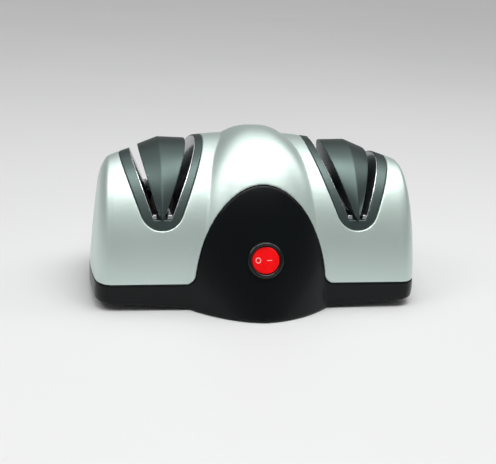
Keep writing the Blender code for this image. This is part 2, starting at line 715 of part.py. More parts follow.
def bearing_bracket(label, side):
    """Cast bridge over the rotor's end, with a boss for the bush and two feet on posts."""
    def sx(distance):
        return side * (CORE_HALF_THICKNESS + GAP + distance)
    half, thick = 27 * MM, 2.5 * MM
    plan = [(0, -half), (thick, -half), (thick, -17.5 * MM), (9 * MM, -15 * MM), (9 * MM, 15 * MM),
            (thick, 17.5 * MM), (thick, half), (0, half), (0, 16 * MM), (6.5 * MM, 13 * MM),
            (6.5 * MM, -13 * MM), (0, -16 * MM)]
    outline = [(sx(x), y) for x, y in plan]
    name = f"bearing_bracket_{label}"
    bracket = part(name, prism(outline, "z", SHAFT_Z - 7 * MM, SHAFT_Z + 7 * MM), ZINC)
    boss = cylinder((sx(6.6 * MM), 0, SHAFT_Z), (sx(14 * MM), 0, SHAFT_Z), 6.5 * MM, 16)
    boolean(bracket, cutter(name + "_boss", boss), "UNION")
    for y in (-1, 1):
        near, far = sorted((y * 18.5 * MM, y * half))
        left, right = sorted((sx(0), sx(thick)))
        leg = box((left, near, 20 * MM), (right, far, SHAFT_Z - 6 * MM))
        boolean(bracket, cutter(f"{name}_leg_{y}", leg), "UNION")
        left, right = sorted((sx(0.2 * MM), sx(10.5 * MM)))
        foot = box((left, near, 20 * MM), (right, far, 22 * MM))
        boolean(bracket, cutter(f"{name}_foot_{y}", foot), "UNION")
    holes = [cylinder((sx(-3 * MM), y, SHAFT_Z), (sx(5 * MM), y, SHAFT_Z), 1.9 * MM, 8)
             for y in bracket_screw_rows()]
    holes += [cylinder((side * 17 * MM, y, 10 * MM), (side * 17 * MM, y, 30 * MM), 1.9 * MM, 8)
              for y in bracket_screw_rows()]
    boolean(bracket, cutter(name + "_holes", merge(*holes)))
    seat = cylinder((sx(0), 0, SHAFT_Z), (sx(20 * MM), 0, SHAFT_Z), 4.8 * MM, 16)
    boolean(bracket, cutter(name + "_seat", seat))
    low, high = sorted((sx(6.5 * MM), sx(15 * MM)))
    profile = ring_profile(SHAFT_RADIUS + 0.05 * MM, 4.6 * MM, low, high)
    turned(f"bearing_bush_{label}", profile, BRONZE, (0, 0, SHAFT_Z), "X", 16)


def motor_screws():
    names = ("left_front", "left_back", "right_front", "right_back")
    for name, (x, y) in zip(names, motor_posts()):
        profile = [(0, 24.6 * MM), (2.2 * MM, 24.6 * MM), (3 * MM, 23.6 * MM), (3 * MM, 22.3 * MM),
                   (1.5 * MM, 22.3 * MM), (1.5 * MM, 11 * MM), (0, 10 * MM)]
        turned(f"motor_screw_{name}", profile, ZINC, (x, y, 0), sides=10)
    reach = CORE_HALF_THICKNESS + 2.5 * MM + 2 * GAP
    for name, y in zip(("front", "back"), bracket_screw_rows()):
        profile = [(0, reach + 2 * MM), (3 * MM, reach + 2 * MM), (3 * MM, reach), (1.5 * MM, reach),
                   (1.5 * MM, -reach - 3 * MM), (0, -reach - 3 * MM)]
        turned(f"bracket_screw_{name}", profile, ZINC, (0, y, SHAFT_Z), "X", 10)


def cooling_fan():
    """Plastic fan on the shaft, right of the motor."""
    start, width = 30 * MM, 9 * MM
    hub_low, hub_high = start, start + width
    profile = ring_profile(SHAFT_RADIUS + GAP / 2, 6 * MM, hub_low, hub_high)
    fan = turned("cooling_fan", profile, BLACK, (0, 0, SHAFT_Z), "X", 16)
    for i in range(6):
        blade = box((start + 1 * MM, -0.8 * MM, 5 * MM), (start + width - 1 * MM, 0.8 * MM, 21 * MM))
        tilt = Matrix.Translation((start + width / 2, 0, 0)) @ Matrix.Rotation(math.radians(28), 4, "Z")
        tilt = tilt @ Matrix.Translation((-start - width / 2, 0, 0))
        place = Matrix.Rotation(math.tau * i / 6, 4, "X") @ tilt
        bmesh.ops.transform(blade, matrix=place, verts=blade.verts)
        bmesh.ops.translate(blade, vec=(0, 0, SHAFT_Z), verts=blade.verts)
        boolean(fan, cutter(f"fan_blade_{i}", blade), "UNION")


# ---------------------------------------------------------------- switch and wiring

def switch_frame():
    """Frame square to the arched front at the switch: columns are across, up and outwards."""
    step = 0.5 * MM
    slope = (hood_front(SWITCH_Z - step) - hood_front(SWITCH_Z + step)) / (2 * step)
    out = Vector((0, -1, slope)).normalized()
    up = out.cross(Vector((1, 0, 0)))
    across = up.cross(out)
    turn = Matrix((across, up, out)).transposed().to_4x4()
    return Matrix.Translation((0, -hood_front(SWITCH_Z), SWITCH_Z)) @ turn


def switch_point(distance):
    return switch_frame() @ Vector((0, 0, distance))


def switch():
    """Round housing pushed into the arched front, and the rocker that tilts in it."""
    bezel, lip, well = BEZEL_RADIUS, 2.2 * MM, ROCKER_RADIUS + GAP
    profile = [(0, -8 * MM), (well, -8 * MM), (well, 1.4 * MM), (bezel - 1.8 * MM, lip),
               (bezel - 0.7 * MM, lip - 0.3 * MM), (bezel, 0.3 * MM), (9.7 * MM, 0.3 * MM),
               (9.7 * MM, -15 * MM), (0, -15 * MM)]
    housing = turned("switch_housing", profile, BLACK, sides=40)
    housing.matrix_basis = switch_frame()
    rocker = part("switch_rocker", rocker_body(), RED)
    rocker.matrix_basis = switch_frame() @ Matrix.Rotation(-ROCKER_TILT, 4, "Y")
    for name, way in (("line", -1), ("load", 1)):
        left, right = way * TERMINAL_X - 2.4 * MM, way * TERMINAL_X + 2.4 * MM
        tab = box((left, -0.4 * MM, -23 * MM), (right, 0.4 * MM, -15.3 * MM))
        terminal = part(f"switch_terminal_{name}", tab, ZINC)
        terminal.matrix_basis = switch_frame()


def rocker_body():
    """Disc with two halves sloping down to a shallow valley along its tilt axis."""
    radius, deep, edge = ROCKER_RADIUS, -2.5 * MM, 1.7 * MM
    valley = edge - radius * math.tan(ROCKER_TILT)
    bm = cylinder((0, 0, deep), (0, 0, edge), radius, 36)
    pick = bm.edges[:] + bm.faces[:] + bm.verts[:]
    bmesh.ops.bisect_plane(bm, geom=pick, plane_co=(0, 0, 0), plane_no=(1, 0, 0))
    for vert in bm.verts:
        if vert.co.z > 0:
            vert.co.z = valley + abs(vert.co.x) * math.tan(ROCKER_TILT)
    return bm


def wire(name, route, spec):
    """Insulated lead along a smooth route."""
    points = []
    count = len(route)
    for i in range(count - 1):
        p0, p1 = Vector(route[max(i - 1, 0)]), Vector(route[i])
        p2, p3 = Vector(route[i + 1]), Vector(route[min(i + 2, count - 1)])
        for k in range(WIRE_STEPS):
            t = k / WIRE_STEPS
            points.append(0.5 * ((2 * p1) + (p2 - p0) * t + (2 * p0 - 5 * p1 + 4 * p2 - p3) * t * t
                                 + (3 * p1 - p0 - 3 * p2 + p3) * t ** 3))
    points.append(Vector(route[-1]))
    data = bpy.data.curves.new(name, "CURVE")
    data.dimensions = "3D"
    data.bevel_depth = 0.9 * MM
    data.bevel_resolution = 2
    data.use_fill_caps = True
    line = data.splines.new("POLY")
    line.points.add(len(points) - 1)
    for target, point in zip(line.points, points):
        target.co = (*point, 1)
    made = bpy.data.objects.new(name, data)
    PARTS.objects.link(made)
    data.materials.append(material(spec))


def terminal_ends():
    """Where the leads meet the two switch tabs."""
    return [switch_frame() @ Vector((way * TERMINAL_X, 0, -24.5 * MM)) for way in (-1, 1)]


def wiring():
    block = part("terminal_block", box((-9 * MM, 44 * MM, 3.7 * MM), (9 * MM, 55 * MM, 13 * MM)), NYLON)
    block.modifiers.new("Soften", "BEVEL").width = 0.8 * MM
    line_end, load_end = terminal_ends()
    row = 43 * MM
    wire("lead_live", [(-5 * MM, row, 9 * MM), (-9 * MM, 40 * MM, 7 * MM), (-27 * MM, 24 * MM, 5.5 * MM),
                       (-31 * MM, 0, 5.5 * MM), (-26 * MM, -27 * MM, 8 * MM), line_end], BROWN)
    wire("lead_switched", [load_end, (20 * MM, -32 * MM, 38 * MM), (24 * MM, -33 * MM, 56 * MM),
                           (21 * MM, -30 * MM, 74 * MM), (12 * MM, -19 * MM, 80 * MM)], BROWN)
    wire("lead_neutral", [(5 * MM, row, 9 * MM), (9 * MM, 38 * MM, 16 * MM), (14 * MM, 33 * MM, 40 * MM),
                          (14 * MM, 30 * MM, 66 * MM), (12 * MM, 19 * MM, 80 * MM)], BLUE)


def cord_gland():
    """Rubber bush in the inlet at the back; the cord itself isn't modelled."""
    hole, body, flange = 3.2 * MM, 4.8 * MM, 6.6 * MM
    face = inlet_face() + GAP
    outer = face + GLAND_FLANGE
    inner = outer - 10 * MM
    profile = [(flange - 0.6 * MM, outer), (flange, outer - 0.6 * MM), (flange, face),
               (body, face), (body, inner), (hole, inner), (hole, outer)]
    turned("cord_gland", profile, RUBBER, (0, 0, INLET_Z), "Y", 20)


def build():
    upper_casing()
    base_casing()
    for label, side in (("left", -1), ("right", 1)):
        guide_frame(f"guide_frame_{label}", side)
        blade_wedge(f"blade_wedge_{label}", side)
        steel_guide(f"steel_guide_{label}_outer", side, side)
        steel_guide(f"steel_guide_{label}_inner", side, -side)
        wheel_fasteners(label, side)
        bearing_bracket(label, side)
    grinding_wheel("grinding_wheel_coarse", -1, COARSE)
    grinding_wheel("grinding_wheel_fine", 1, FINE)
    motor_shaft()
    rotor_core()
    stator_core()
    coil()
    cooling_fan()
    motor_screws()
    switch()
    wiring()
    cord_gland()
    feet()
    casing_screws()


clear_scene()
PARTS = new_collection("knife_sharpener")
CUTTERS = new_collection("cutters")
build()
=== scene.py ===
import json
import math

import bmesh
import bpy
from mathutils import Matrix, Vector


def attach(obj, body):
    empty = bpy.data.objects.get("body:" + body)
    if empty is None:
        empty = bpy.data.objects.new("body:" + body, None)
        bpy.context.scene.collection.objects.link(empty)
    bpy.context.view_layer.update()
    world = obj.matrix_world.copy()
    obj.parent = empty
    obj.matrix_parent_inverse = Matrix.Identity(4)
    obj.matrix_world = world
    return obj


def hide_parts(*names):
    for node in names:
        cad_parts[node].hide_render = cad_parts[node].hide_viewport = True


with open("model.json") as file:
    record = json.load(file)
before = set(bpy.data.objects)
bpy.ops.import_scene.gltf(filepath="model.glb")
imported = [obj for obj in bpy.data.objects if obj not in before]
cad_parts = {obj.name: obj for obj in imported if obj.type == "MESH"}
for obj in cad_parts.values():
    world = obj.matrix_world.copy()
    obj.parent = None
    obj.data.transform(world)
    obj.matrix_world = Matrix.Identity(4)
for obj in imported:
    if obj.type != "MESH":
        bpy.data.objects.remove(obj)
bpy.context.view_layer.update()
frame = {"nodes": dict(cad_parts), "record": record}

# The looks of a two-stage electric knife sharpener. Metres, +Z up, -Y is the front. The casings,
# inserts, wedges, liners, switch, feet and gland are made again here from the CAD model's own
# dimensions, finer and with softened edges; the pieces inside keep their CAD shape.
MM = 0.001
GAP = 0.3 * MM

# Body, as in the CAD model
HALF_LENGTH = 107.3 * MM
FRONT_Y = 53.8 * MM
RIDGE_Y, RIDGE_CURVE = 9.0 * MM, 1.7
PARTING_Z, UNDERSIDE_Z = 17.4 * MM, 1.0 * MM
RISE_START, RISE_SLOPE = 44 * MM, 0.079
CROWN_Z, CROWN_CURVE = 101.5 * MM, 1.25
SECTION_POWER, SECTION_CHANGE = 1.735, 2.2
PLAN_CORNER = 11 * MM
SHOULDER, SHOULDER_DROP = 7 * MM, 13 * MM
END_LEAN, END_CURVE, END_BULGE = 0.055, 0.6, 2.3
BASE_BULGE, BASE_BULGE_DEPTH = 0.4 * MM, 12 * MM
END_CENTRE_Z = 40 * MM              # the ends close towards this height,
END_SHARES = (0.9, 0.8, 0.65, 0.5, 0.35, 0.2, 0.08)        # in rings of these sizes
WALL = 2.2 * MM
REACH = 100 * MM                    # cutters run this far to each side of the middle,
CUT_TOP = 120 * MM                  # and up to here
HOOD_Z, HOOD_FRONT, HOOD_BACK = 108.4 * MM, 76.8 * MM, 73.5 * MM
HOOD_POWER, HOOD_WIDTH_FACTOR = 2.24, 1.08
HOOD_PLAN_POWER, HOOD_PLAN_CHANGE = 1.72, 1.5      # squareness seen from above, and its growth with height
ARCH_Z, ARCH_HALF_WIDTH, ARCH_HEIGHT = 10.1 * MM, 42.5 * MM, 69.7 * MM
ARCH_FOOT_RADIUS, ARCH_BACK = 7 * MM, -10 * MM

# Stations
STATION_X = 63.4 * MM
V_CENTRE_Z, V_RADIUS, V_SLOPE = 65.1 * MM, 14.1 * MM, 0.411
TROUGH_Z = 57.5 * MM
TROUGH_WALLS = {"outer": (5.2 * MM, 0.387), "inner": (5.8 * MM, 0.438)}
FRAME_RIM, FRAME_WALL = 3 * MM, 2 * MM
WINDOW_HALF_WIDTH = 4.8 * MM
WEDGE_WALLS = {"outer": (1.35 * MM, 0.332), "inner": (1.0 * MM, 0.406)}
WEDGE_RIDGE, WEDGE_EDGE, WEDGE_TOP_Z = 2.6 * MM, 0.2 * MM, 97 * MM
GUIDE_THICKNESS, GUIDE_RECESS = 0.8 * MM, 0.6 * MM
SHAFT_Z, WHEEL_RADIUS = 40 * MM, 24 * MM
WHEEL_ROOM, WHEEL_ROOM_HALF_WIDTH = 1 * MM, 6 * MM         # space kept round a wheel in its wedge
LINER_FOLDS = (                     # start from the ridge, near edge, lift and height
    (26 * MM, 3.5 * MM, 0, 0.7 * MM),                      # the foot
    (43.2 * MM, 3.6 * MM, 0.1 * MM, 2.2 * MM))             # the tab at the end

# Switch, fasteners, feet and inlet
SWITCH_Z, BEZEL_RADIUS, ROCKER_RADIUS = 37.4 * MM, 11.5 * MM, 8.6 * MM
ROCKER_TILT = math.radians(7)
SWITCH_HOLE_RADIUS = 10 * MM
SCREW_X, SCREW_YS = 95 * MM, (-34 * MM, 22 * MM)
SCREW_POST_RADIUS, SCREW_HEAD_RADIUS, SHANK_RADIUS = 5 * MM, 3.7 * MM, 1.8 * MM
MOTOR_SCREW_X, MOTOR_SCREW_Y = 17 * MM, 22.5 * MM
MOTOR_POST_RADIUS, MOTOR_POST_TOP = 4 * MM, 19.7 * MM
POST_FOOT_Z, BELOW_BASE = 2 * MM, -5 * MM                  # cutters start below the base
VENT_COUNT, VENT_PITCH, VENT_HALF_WIDTH = 7, 7, 1.4 * MM   # the pitch is in millimetres
VENT_FRONT_Y, VENT_BACK_Y = -14 * MM, 12 * MM
FOOT_X, FOOT_YS, FOOT_RADIUS = 78 * MM, (-36 * MM, 32 * MM), 6 * MM
INLET_Z, INLET_PAD_RADIUS, INLET_BORE_RADIUS = 9.7 * MM, 7.4 * MM, 5.1 * MM
GLAND_FLANGE = 2 * MM

# Fineness of the moulded pieces: mesh size before thinning, and the share of it that is kept
CASING_VOXEL, CASING_SHARE = 0.6 * MM, 0.12
FRAME_VOXEL, FRAME_SHARE = 0.4 * MM, 0.22
SMOOTH_ROUNDS = 2
CORNER_STEPS = 10                   # steps round a quarter turn of an outline

# Viewpoint
VIEW_ANGLES = (-10.742, 18.833, 3.336)      # azimuth, elevation and roll, in degrees
VIEW_TARGET, VIEW_DISTANCE = (-0.14 * MM, 0, 34.24 * MM), 684.97       # the distance is in millimetres
FOCAL_LENGTH, IMAGE_WIDTH = 1000, 496       # in picture elements
SENSOR_WIDTH = 36                           # in millimetres, for Blender's lens setting

# Lights: place, size and power, all aimed at the body's middle
LIGHT_TARGET = (0, 0, 0.05)
LIGHTS = {
    "key": ((0.12, -0.30, 1.09), (0.9, 0.46), 6.2),
    "left": ((-0.66, -0.28, 0.88), (0.45, 0.5), 2.2),
    "right": ((0.80, 0.08, 0.80), (0.4, 0.5), 1.5),
}
# Brightness of the surroundings, as bands of upward direction: from, to, and the strength at each
SKY_BANDS = (
    (0.60, 0.98, 0.245, 1.30),      # brighter overhead
    (0.0, 0.25, 0.20, 0.0))         # a little brighter at the horizon

SCRATCH = []


# ---------------------------------------------------------------- mesh helpers

def new_object(name, bm):
    bmesh.ops.recalc_face_normals(bm, faces=bm.faces)
    mesh = bpy.data.meshes.new(name)
    bm.to_mesh(mesh)
    bm.free()
    made = bpy.data.objects.new(name, mesh)
    bpy.context.scene.collection.objects.link(made)
    return made


def tool(bm):
    """A shape used only to cut or grow another one, removed before the end."""
    made = new_object("tool", bm)
    SCRATCH.append(made)
    return made


def boolean(target, other, operation="DIFFERENCE"):
    step = target.modifiers.new(operation.title(), "BOOLEAN")
    step.object = other
    step.operation = operation
    step.solver = "EXACT"


def bake_modifiers(obj):
    """Replace the object's mesh by what its modifiers make of it."""
    bpy.context.view_layer.update()
    graph = bpy.context.evaluated_depsgraph_get()
    mesh = bpy.data.meshes.new_from_object(obj.evaluated_get(graph))
    obj.modifiers.clear()
    old = obj.data
    obj.data = mesh
    bpy.data.meshes.remove(old)


def clear_tools():
    for made in SCRATCH:
        bpy.data.objects.remove(made, do_unlink=True)
    SCRATCH.clear()


def soften(obj, voxel, share):
    """Moulded look: edges rounded over by about a voxel, on an even mesh thinned to a share."""
    bake_modifiers(obj)
    remesh = obj.modifiers.new("Even", "REMESH")
    remesh.mode = "VOXEL"
    remesh.voxel_size = voxel
    remesh.use_smooth_shade = True
    smooth = obj.modifiers.new("Round", "SMOOTH")
    smooth.factor = 0.5
    smooth.iterations = SMOOTH_ROUNDS
    thin = obj.modifiers.new("Thin", "DECIMATE")
    thin.ratio = share
    bake_modifiers(obj)
    obj.data.shade_smooth()


def box(low, high):
    bm = bmesh.new()
    bmesh.ops.create_cube(bm, size=1)
    low, high = Vector(low), Vector(high)
    bmesh.ops.scale(bm, vec=high - low, verts=bm.verts)
    bmesh.ops.translate(bm, vec=(low + high) / 2, verts=bm.verts)
    return bm


def cylinder(start, end, radius, sides):
    start, end = Vector(start), Vector(end)
    span = end - start
    turn = span.to_track_quat("Z", "Y").to_matrix().to_4x4()
    bm = bmesh.new()
    bmesh.ops.create_cone(bm, cap_ends=True, segments=sides, radius1=radius, radius2=radius,
                          depth=span.length, matrix=Matrix.Translation((start + end) / 2) @ turn)
    return bm


def merge(*shapes):
    """Several shapes in one, so that they cut in one step."""
    bm = bmesh.new()
    for shape in shapes:
        temp = bpy.data.meshes.new("temp")
        shape.to_mesh(temp)
        shape.free()
        bm.from_mesh(temp)
        bpy.data.meshes.remove(temp)
    return bm


def prism(outline, low, high):
    """An outline of (x, z) points pushed along Y."""
    bm = bmesh.new()
    face = bm.faces.new([bm.verts.new((x, low, z)) for x, z in outline])
    grown = bmesh.ops.extrude_face_region(bm, geom=[face])
    moved = [v for v in grown["geom"] if isinstance(v, bmesh.types.BMVert)]
    bmesh.ops.translate(bm, vec=(0, high - low, 0), verts=moved)
    return bm


def loft(rings):
    """A closed skin over rings of points that all have the same count."""
    bm = bmesh.new()
    loops = [[bm.verts.new(point) for point in ring] for ring in rings]
    for first, second in zip(loops, loops[1:]):
        count = len(first)
        for i in range(count):
            j = (i + 1) % count
            bm.faces.new((first[i], first[j], second[j], second[i]))
    bm.faces.new(loops[0])
    bm.faces.new(loops[-1])
    bmesh.ops.triangulate(bm, faces=bm.faces)
    return bm


def turned(name, profile, place, sides):
    """A profile of (radius, height) points turned about Z, then put in place."""
    bm = bmesh.new()
    verts = [bm.verts.new((radius, 0, height)) for radius, height in profile]
    edges = [bm.edges.new(pair) for pair in zip(verts, verts[1:])]
    if min(radius for radius, _ in profile) > 0:
        edges.append(bm.edges.new((verts[-1], verts[0])))
    bmesh.ops.spin(bm, geom=verts + edges, cent=(0, 0, 0), axis=(0, 0, 1), angle=math.tau,
                   steps=sides, use_merge=True, use_duplicate=False)
    bmesh.ops.remove_doubles(bm, verts=bm.verts, dist=0.000001)
    bmesh.ops.transform(bm, matrix=place, verts=bm.verts)
    made = new_object(name, bm)
    made.data.shade_smooth()
    made.data.set_sharp_from_angle(angle=math.radians(32))
    return made


def rounded(points, radius, steps):
    """A polyline with its inner corners replaced by small curves; its ends stay."""
    out = [points[0]]
    for before, corner, after in zip(points, points[1:], points[2:]):
        a, b, c = Vector(before), Vector(corner), Vector(after)
        reach = min(radius, (a - b).length * 0.45, (c - b).length * 0.45)
        start, end = b + (a - b).normalized() * reach, b + (c - b).normalized() * reach
        for i in range(steps + 1):
            t = i / steps
            point = start * (1 - t) ** 2 + b * 2 * t * (1 - t) + end * t * t
            out.append((point.x, point.y))
    return out + [points[-1]]


def arc(centre, radius, start, end, steps):
    """Points along an arc between two angles in degrees."""
    points = []
    for i in range(steps + 1):
        angle = math.radians(start + (end - start) * i / steps)
        points.append((centre[0] + radius * math.cos(angle), centre[1] + radius * math.sin(angle)))
    return points


# ---------------------------------------------------------------- body surface

def rounding(distance, radius):
    """How far a quarter-round corner falls back, this far into it."""
    reach = min(max(distance, 0), radius)
    return radius - math.sqrt(max(radius * radius - reach * reach, 0))


def wing_crown(x, inset=0):
    return CROWN_Z - CROWN_CURVE * x * x - inset


def wing_power(x):
    return SECTION_POWER - SECTION_CHANGE * (abs(x) - 60 * MM)


def wing_ridge(x):
    return RIDGE_Y - RIDGE_CURVE * x * x


def wing_depth(x):
    return FRONT_Y + wing_ridge(x)


def wing_underside(x):
    return UNDERSIDE_Z + max(0, abs(x) - RISE_START) * RISE_SLOPE


def place_station(x, y, z, length):
    """Lean and bulge a point of a wing, the more the nearer it is to the end."""
    weight = (abs(x) / length) ** 4
    above = z - PARTING_Z
    if above > 0:
        lean = above * (END_LEAN + END_CURVE * above) / HALF_LENGTH
    else:
        swell = math.sin(math.pi * min(-above / BASE_BULGE_DEPTH, 1))
        lean = -BASE_BULGE / HALF_LENGTH * swell
    bulge = END_BULGE * (y - wing_ridge(length)) ** 2 * weight * weight
    return (x * (1 - lean * weight) - math.copysign(bulge, x), y, z)


def wing_section(x, inset, bottom, steps):
    """The wing's outline of (y, z) points across X, inset and with its bottom raised for a wall."""
    length = HALF_LENGTH - inset
    depth = wing_depth(x) - inset - rounding(abs(x) - length + PLAN_CORNER, PLAN_CORNER)
    crown = wing_crown(x, inset)
    crown -= rounding(abs(x) - length + SHOULDER, SHOULDER) * SHOULDER_DROP / SHOULDER
    ridge = wing_ridge(x)
    low = wing_underside(x) + bottom
    sides = [low + (PARTING_Z - low) * i / 4 for i in range(4)]
    points = [(ridge - depth, z) for z in sides]
    for i in range(2 * steps + 1):
        angle = math.pi / 2 * i / steps
        rise = max(math.sin(angle), 0) ** (2 / wing_power(x))
        points.append((ridge - depth * math.cos(angle), PARTING_Z + (crown - PARTING_Z) * rise))
    points += [(ridge + depth, z) for z in reversed(sides)]
    return points + [(ridge + depth * share, low) for share in (0.6, 0.2, -0.2, -0.6)]


def wing_stations(length, fine):
    middle = length - SHOULDER
    inner = [middle * i / fine for i in range(fine + 1)]
    corner = [middle + SHOULDER * math.sin(math.radians(90 * i / CORNER_STEPS))
              for i in range(1, CORNER_STEPS + 1)]
    half = inner[1:] + corner
    return [-x for x in reversed(half)] + [0] + half


def wing_body(inset=0, bottom=0, steps=30, fine=26):
    """Both wings as one long body, closed at its ends."""
    length = HALF_LENGTH - inset
    rings = []
    for x in wing_stations(length, fine):
        rings.append([place_station(x, y, z, length) for y, z in wing_section(x, inset, bottom, steps)])
    for side in (-1, 1):
        section = wing_section(length, inset, bottom, steps)
        ridge = wing_ridge(length)
        for share in END_SHARES:
            ring = []
            for y, z in section:
                across = ridge + (y - ridge) * share
                height = END_CENTRE_Z + (z - END_CENTRE_Z) * share
                ring.append(place_station(side * length, across, height, length))
            if side < 0:
                rings.insert(0, ring)
            else:
                rings.append(ring)
    return loft(rings)


def hood_body(inset=0, bottom=0, levels=34, sides=128):
    """The raised middle, in level rings from the floor to the top."""
    height, front, back = HOOD_Z - inset, HOOD_FRONT - inset * 1.15, HOOD_BACK - inset * 1.15
    lowest = (1 - (UNDERSIDE_Z + bottom) / height) ** (1 / HOOD_POWER)
    rings = []
    for level in range(levels):
        size = lowest * math.cos(math.pi / 2 * level / (levels - 0.6))
        z = height * (1 - size ** HOOD_POWER)
        power = 2 / (HOOD_PLAN_POWER + HOOD_PLAN_CHANGE * z / height)
        ring = []
        for i in range(sides):
            angle = math.tau * i / sides
            across, along = math.cos(angle), math.sin(angle)
            x = math.copysign(abs(across) ** power, across) * size * front / HOOD_WIDTH_FACTOR
            reach = front if along < 0 else back
            ring.append((x, math.copysign(abs(along) ** power, along) * size * reach, z))
        rings.append(ring)
    return loft(rings)


def hood_front(z):
    return HOOD_FRONT * (1 - z / HOOD_Z) ** (1 / HOOD_POWER)


def arch_outline(grow):
    """The black front's arch, with feet that sweep out along the parting line."""
    half, height = ARCH_HALF_WIDTH + grow, ARCH_HEIGHT + grow
    foot = PARTING_Z + ARCH_FOOT_RADIUS
    low = math.degrees(math.asin((foot - ARCH_Z) / height))
    points = []
    steps = 80
    for i in range(steps + 1):
        angle = math.radians(low + (180 - 2 * low) * i / steps)
        points.append((half * math.cos(angle), ARCH_Z + height * math.sin(angle)))
    radius = ARCH_FOOT_RADIUS
    edge = points[0][0]
    right = []
    for i in range(1, CORNER_STEPS + 1):
        turn = math.radians(90 * i / CORNER_STEPS)
        right.append((edge + radius * (1 - math.cos(turn)), PARTING_Z + radius * (1 - math.sin(turn))))
    left = [(-x, z) for x, z in reversed(right)]
    bottom, corner = 5 * MM, right[-1][0]
    return [(corner, bottom)] + right[::-1] + points + left[::-1] + [(-corner, bottom)]


def v_outline(shrink, top):
    """A station's V with its round bottom, open at the top."""
    radius = V_RADIUS - shrink
    lean = math.degrees(math.atan(V_SLOPE))
    curve = arc((0, V_CENTRE_Z), radius, 180 + lean, 360 - lean, 40)
    edge_x, edge_z = curve[-1]
    reach = edge_x + (top - edge_z) * V_SLOPE
    return [(-reach, top)] + curve + [(reach, top)]


def shifted(outline, offset):
    return [(x + offset, z) for x, z in outline]


def foot_places():
    return [(side * FOOT_X, y) for side in (-1, 1) for y in FOOT_YS]


def screw_places():
    return [(side * SCREW_X, y) for side in (-1, 1) for y in SCREW_YS]


def inlet_face():
    return hood_front(UNDERSIDE_Z) - GAP - GLAND_FLANGE


def switch_frame():
    """Place and turn of the switch, square to the hood's front; its own Y is up."""
    step = 0.5 * MM
    slope = (hood_front(SWITCH_Z - step) - hood_front(SWITCH_Z + step)) / (2 * step)
    out = Vector((0, -1, slope)).normalized()
    up = out.cross(Vector((1, 0, 0)))
    turn = Matrix((up.cross(out), up, out)).transposed().to_4x4()
    return Matrix.Translation((0, -hood_front(SWITCH_Z), SWITCH_Z)) @ turn


# ---------------------------------------------------------------- materials

def node(tree, kind, **values):
    made = tree.nodes.new(kind)
    for key, value in values.items():
        setattr(made, key, value)
    return made


def noise(tree, coords, scale, detail, stretch=None):
    source = coords.outputs["Object"]
    if stretch:
        mapping = node(tree, "ShaderNodeMapping")
        mapping.inputs["Scale"].default_value = stretch
        tree.links.new(source, mapping.inputs["Vector"])
        source = mapping.outputs["Vector"]
    made = node(tree, "ShaderNodeTexNoise")
    made.inputs["Scale"].default_value = scale
    made.inputs["Detail"].default_value = detail
    tree.links.new(source, made.inputs["Vector"])
    return made.outputs["Fac"]


def spread(tree, source, low, high):
    """Map the middle of a noise onto the range from low to high."""
    ramp = node(tree, "ShaderNodeMapRange")
    ramp.inputs["From Min"].default_value = 0.3
    ramp.inputs["From Max"].default_value = 0.7
    ramp.inputs["To Min"].default_value = low
    ramp.inputs["To Max"].default_value = high
    tree.links.new(source, ramp.inputs["Value"])
    return ramp.outputs["Result"]


def finish_material(name, colour, shade, rough, metallic=0.0, patch=25, grain=900, bump=0.02,
                    stretch=None, coat=0.0, coat_rough=0.08, painted_edge_highlight=None, specular=0.5):
    """A surface whose colour drifts slowly, whose gloss varies finely, and that has a fine grain.

    colour and shade are the two ends of the drift, rough the two ends of the roughness, and
    painted_edge_highlight a lighter colour painted where edges stand proud, a painted highlight in place
    of the light that rounded edges catch."""
    made = bpy.data.materials.new(name)
    made.use_nodes = True
    tree = made.node_tree
    shader = tree.nodes["Principled BSDF"]
    shader.inputs["Metallic"].default_value = metallic
    shader.inputs["Specular IOR Level"].default_value = specular
    shader.inputs["Coat Weight"].default_value = coat
    shader.inputs["Coat Roughness"].default_value = coat_rough
    coords = node(tree, "ShaderNodeTexCoord")
    drift = noise(tree, coords, patch, 3.0)
    mix = node(tree, "ShaderNodeMix", data_type="RGBA")
    mix.inputs["A"].default_value = (*colour, 1)
    mix.inputs["B"].default_value = (*shade, 1)
    tree.links.new(spread(tree, drift, 0, 1), mix.inputs["Factor"])
    paint = mix.outputs["Result"]
    # Painted highlight: proud edges (high pointiness) get a lighter colour, in place of the light that
    # rounded edges catch.
    if painted_edge_highlight:
        shape = node(tree, "ShaderNodeNewGeometry")
        edge = node(tree, "ShaderNodeMapRange")
        edge.inputs["From Min"].default_value = 0.53
        edge.inputs["From Max"].default_value = 0.62
        tree.links.new(shape.outputs["Pointiness"], edge.inputs["Value"])
        painted_highlight_mix = node(tree, "ShaderNodeMix", data_type="RGBA")
        painted_highlight_mix.inputs["B"].default_value = (*painted_edge_highlight, 1)
        tree.links.new(edge.outputs["Result"], painted_highlight_mix.inputs["Factor"])
        tree.links.new(paint, painted_highlight_mix.inputs["A"])
        paint = painted_highlight_mix.outputs["Result"]
    tree.links.new(paint, shader.inputs["Base Color"])
    fine = noise(tree, coords, grain, 2.0, stretch)
    smear = noise(tree, coords, patch * 2.3, 5.0)
    both = node(tree, "ShaderNodeMath", operation="ADD")
    tree.links.new(fine, both.inputs[0])
    tree.links.new(smear, both.inputs[1])
    half = node(tree, "ShaderNodeMath", operation="MULTIPLY")
    half.inputs[1].default_value = 0.5
    tree.links.new(both.outputs[0], half.inputs[0])
    tree.links.new(spread(tree, half.outputs[0], *rough), shader.inputs["Roughness"])
    relief = node(tree, "ShaderNodeBump")
    relief.inputs["Strength"].default_value = 1.0
    relief.inputs["Distance"].default_value = bump * MM
    tree.links.new(fine, relief.inputs["Height"])
    tree.links.new(relief.outputs["Normal"], shader.inputs["Normal"])
    return made


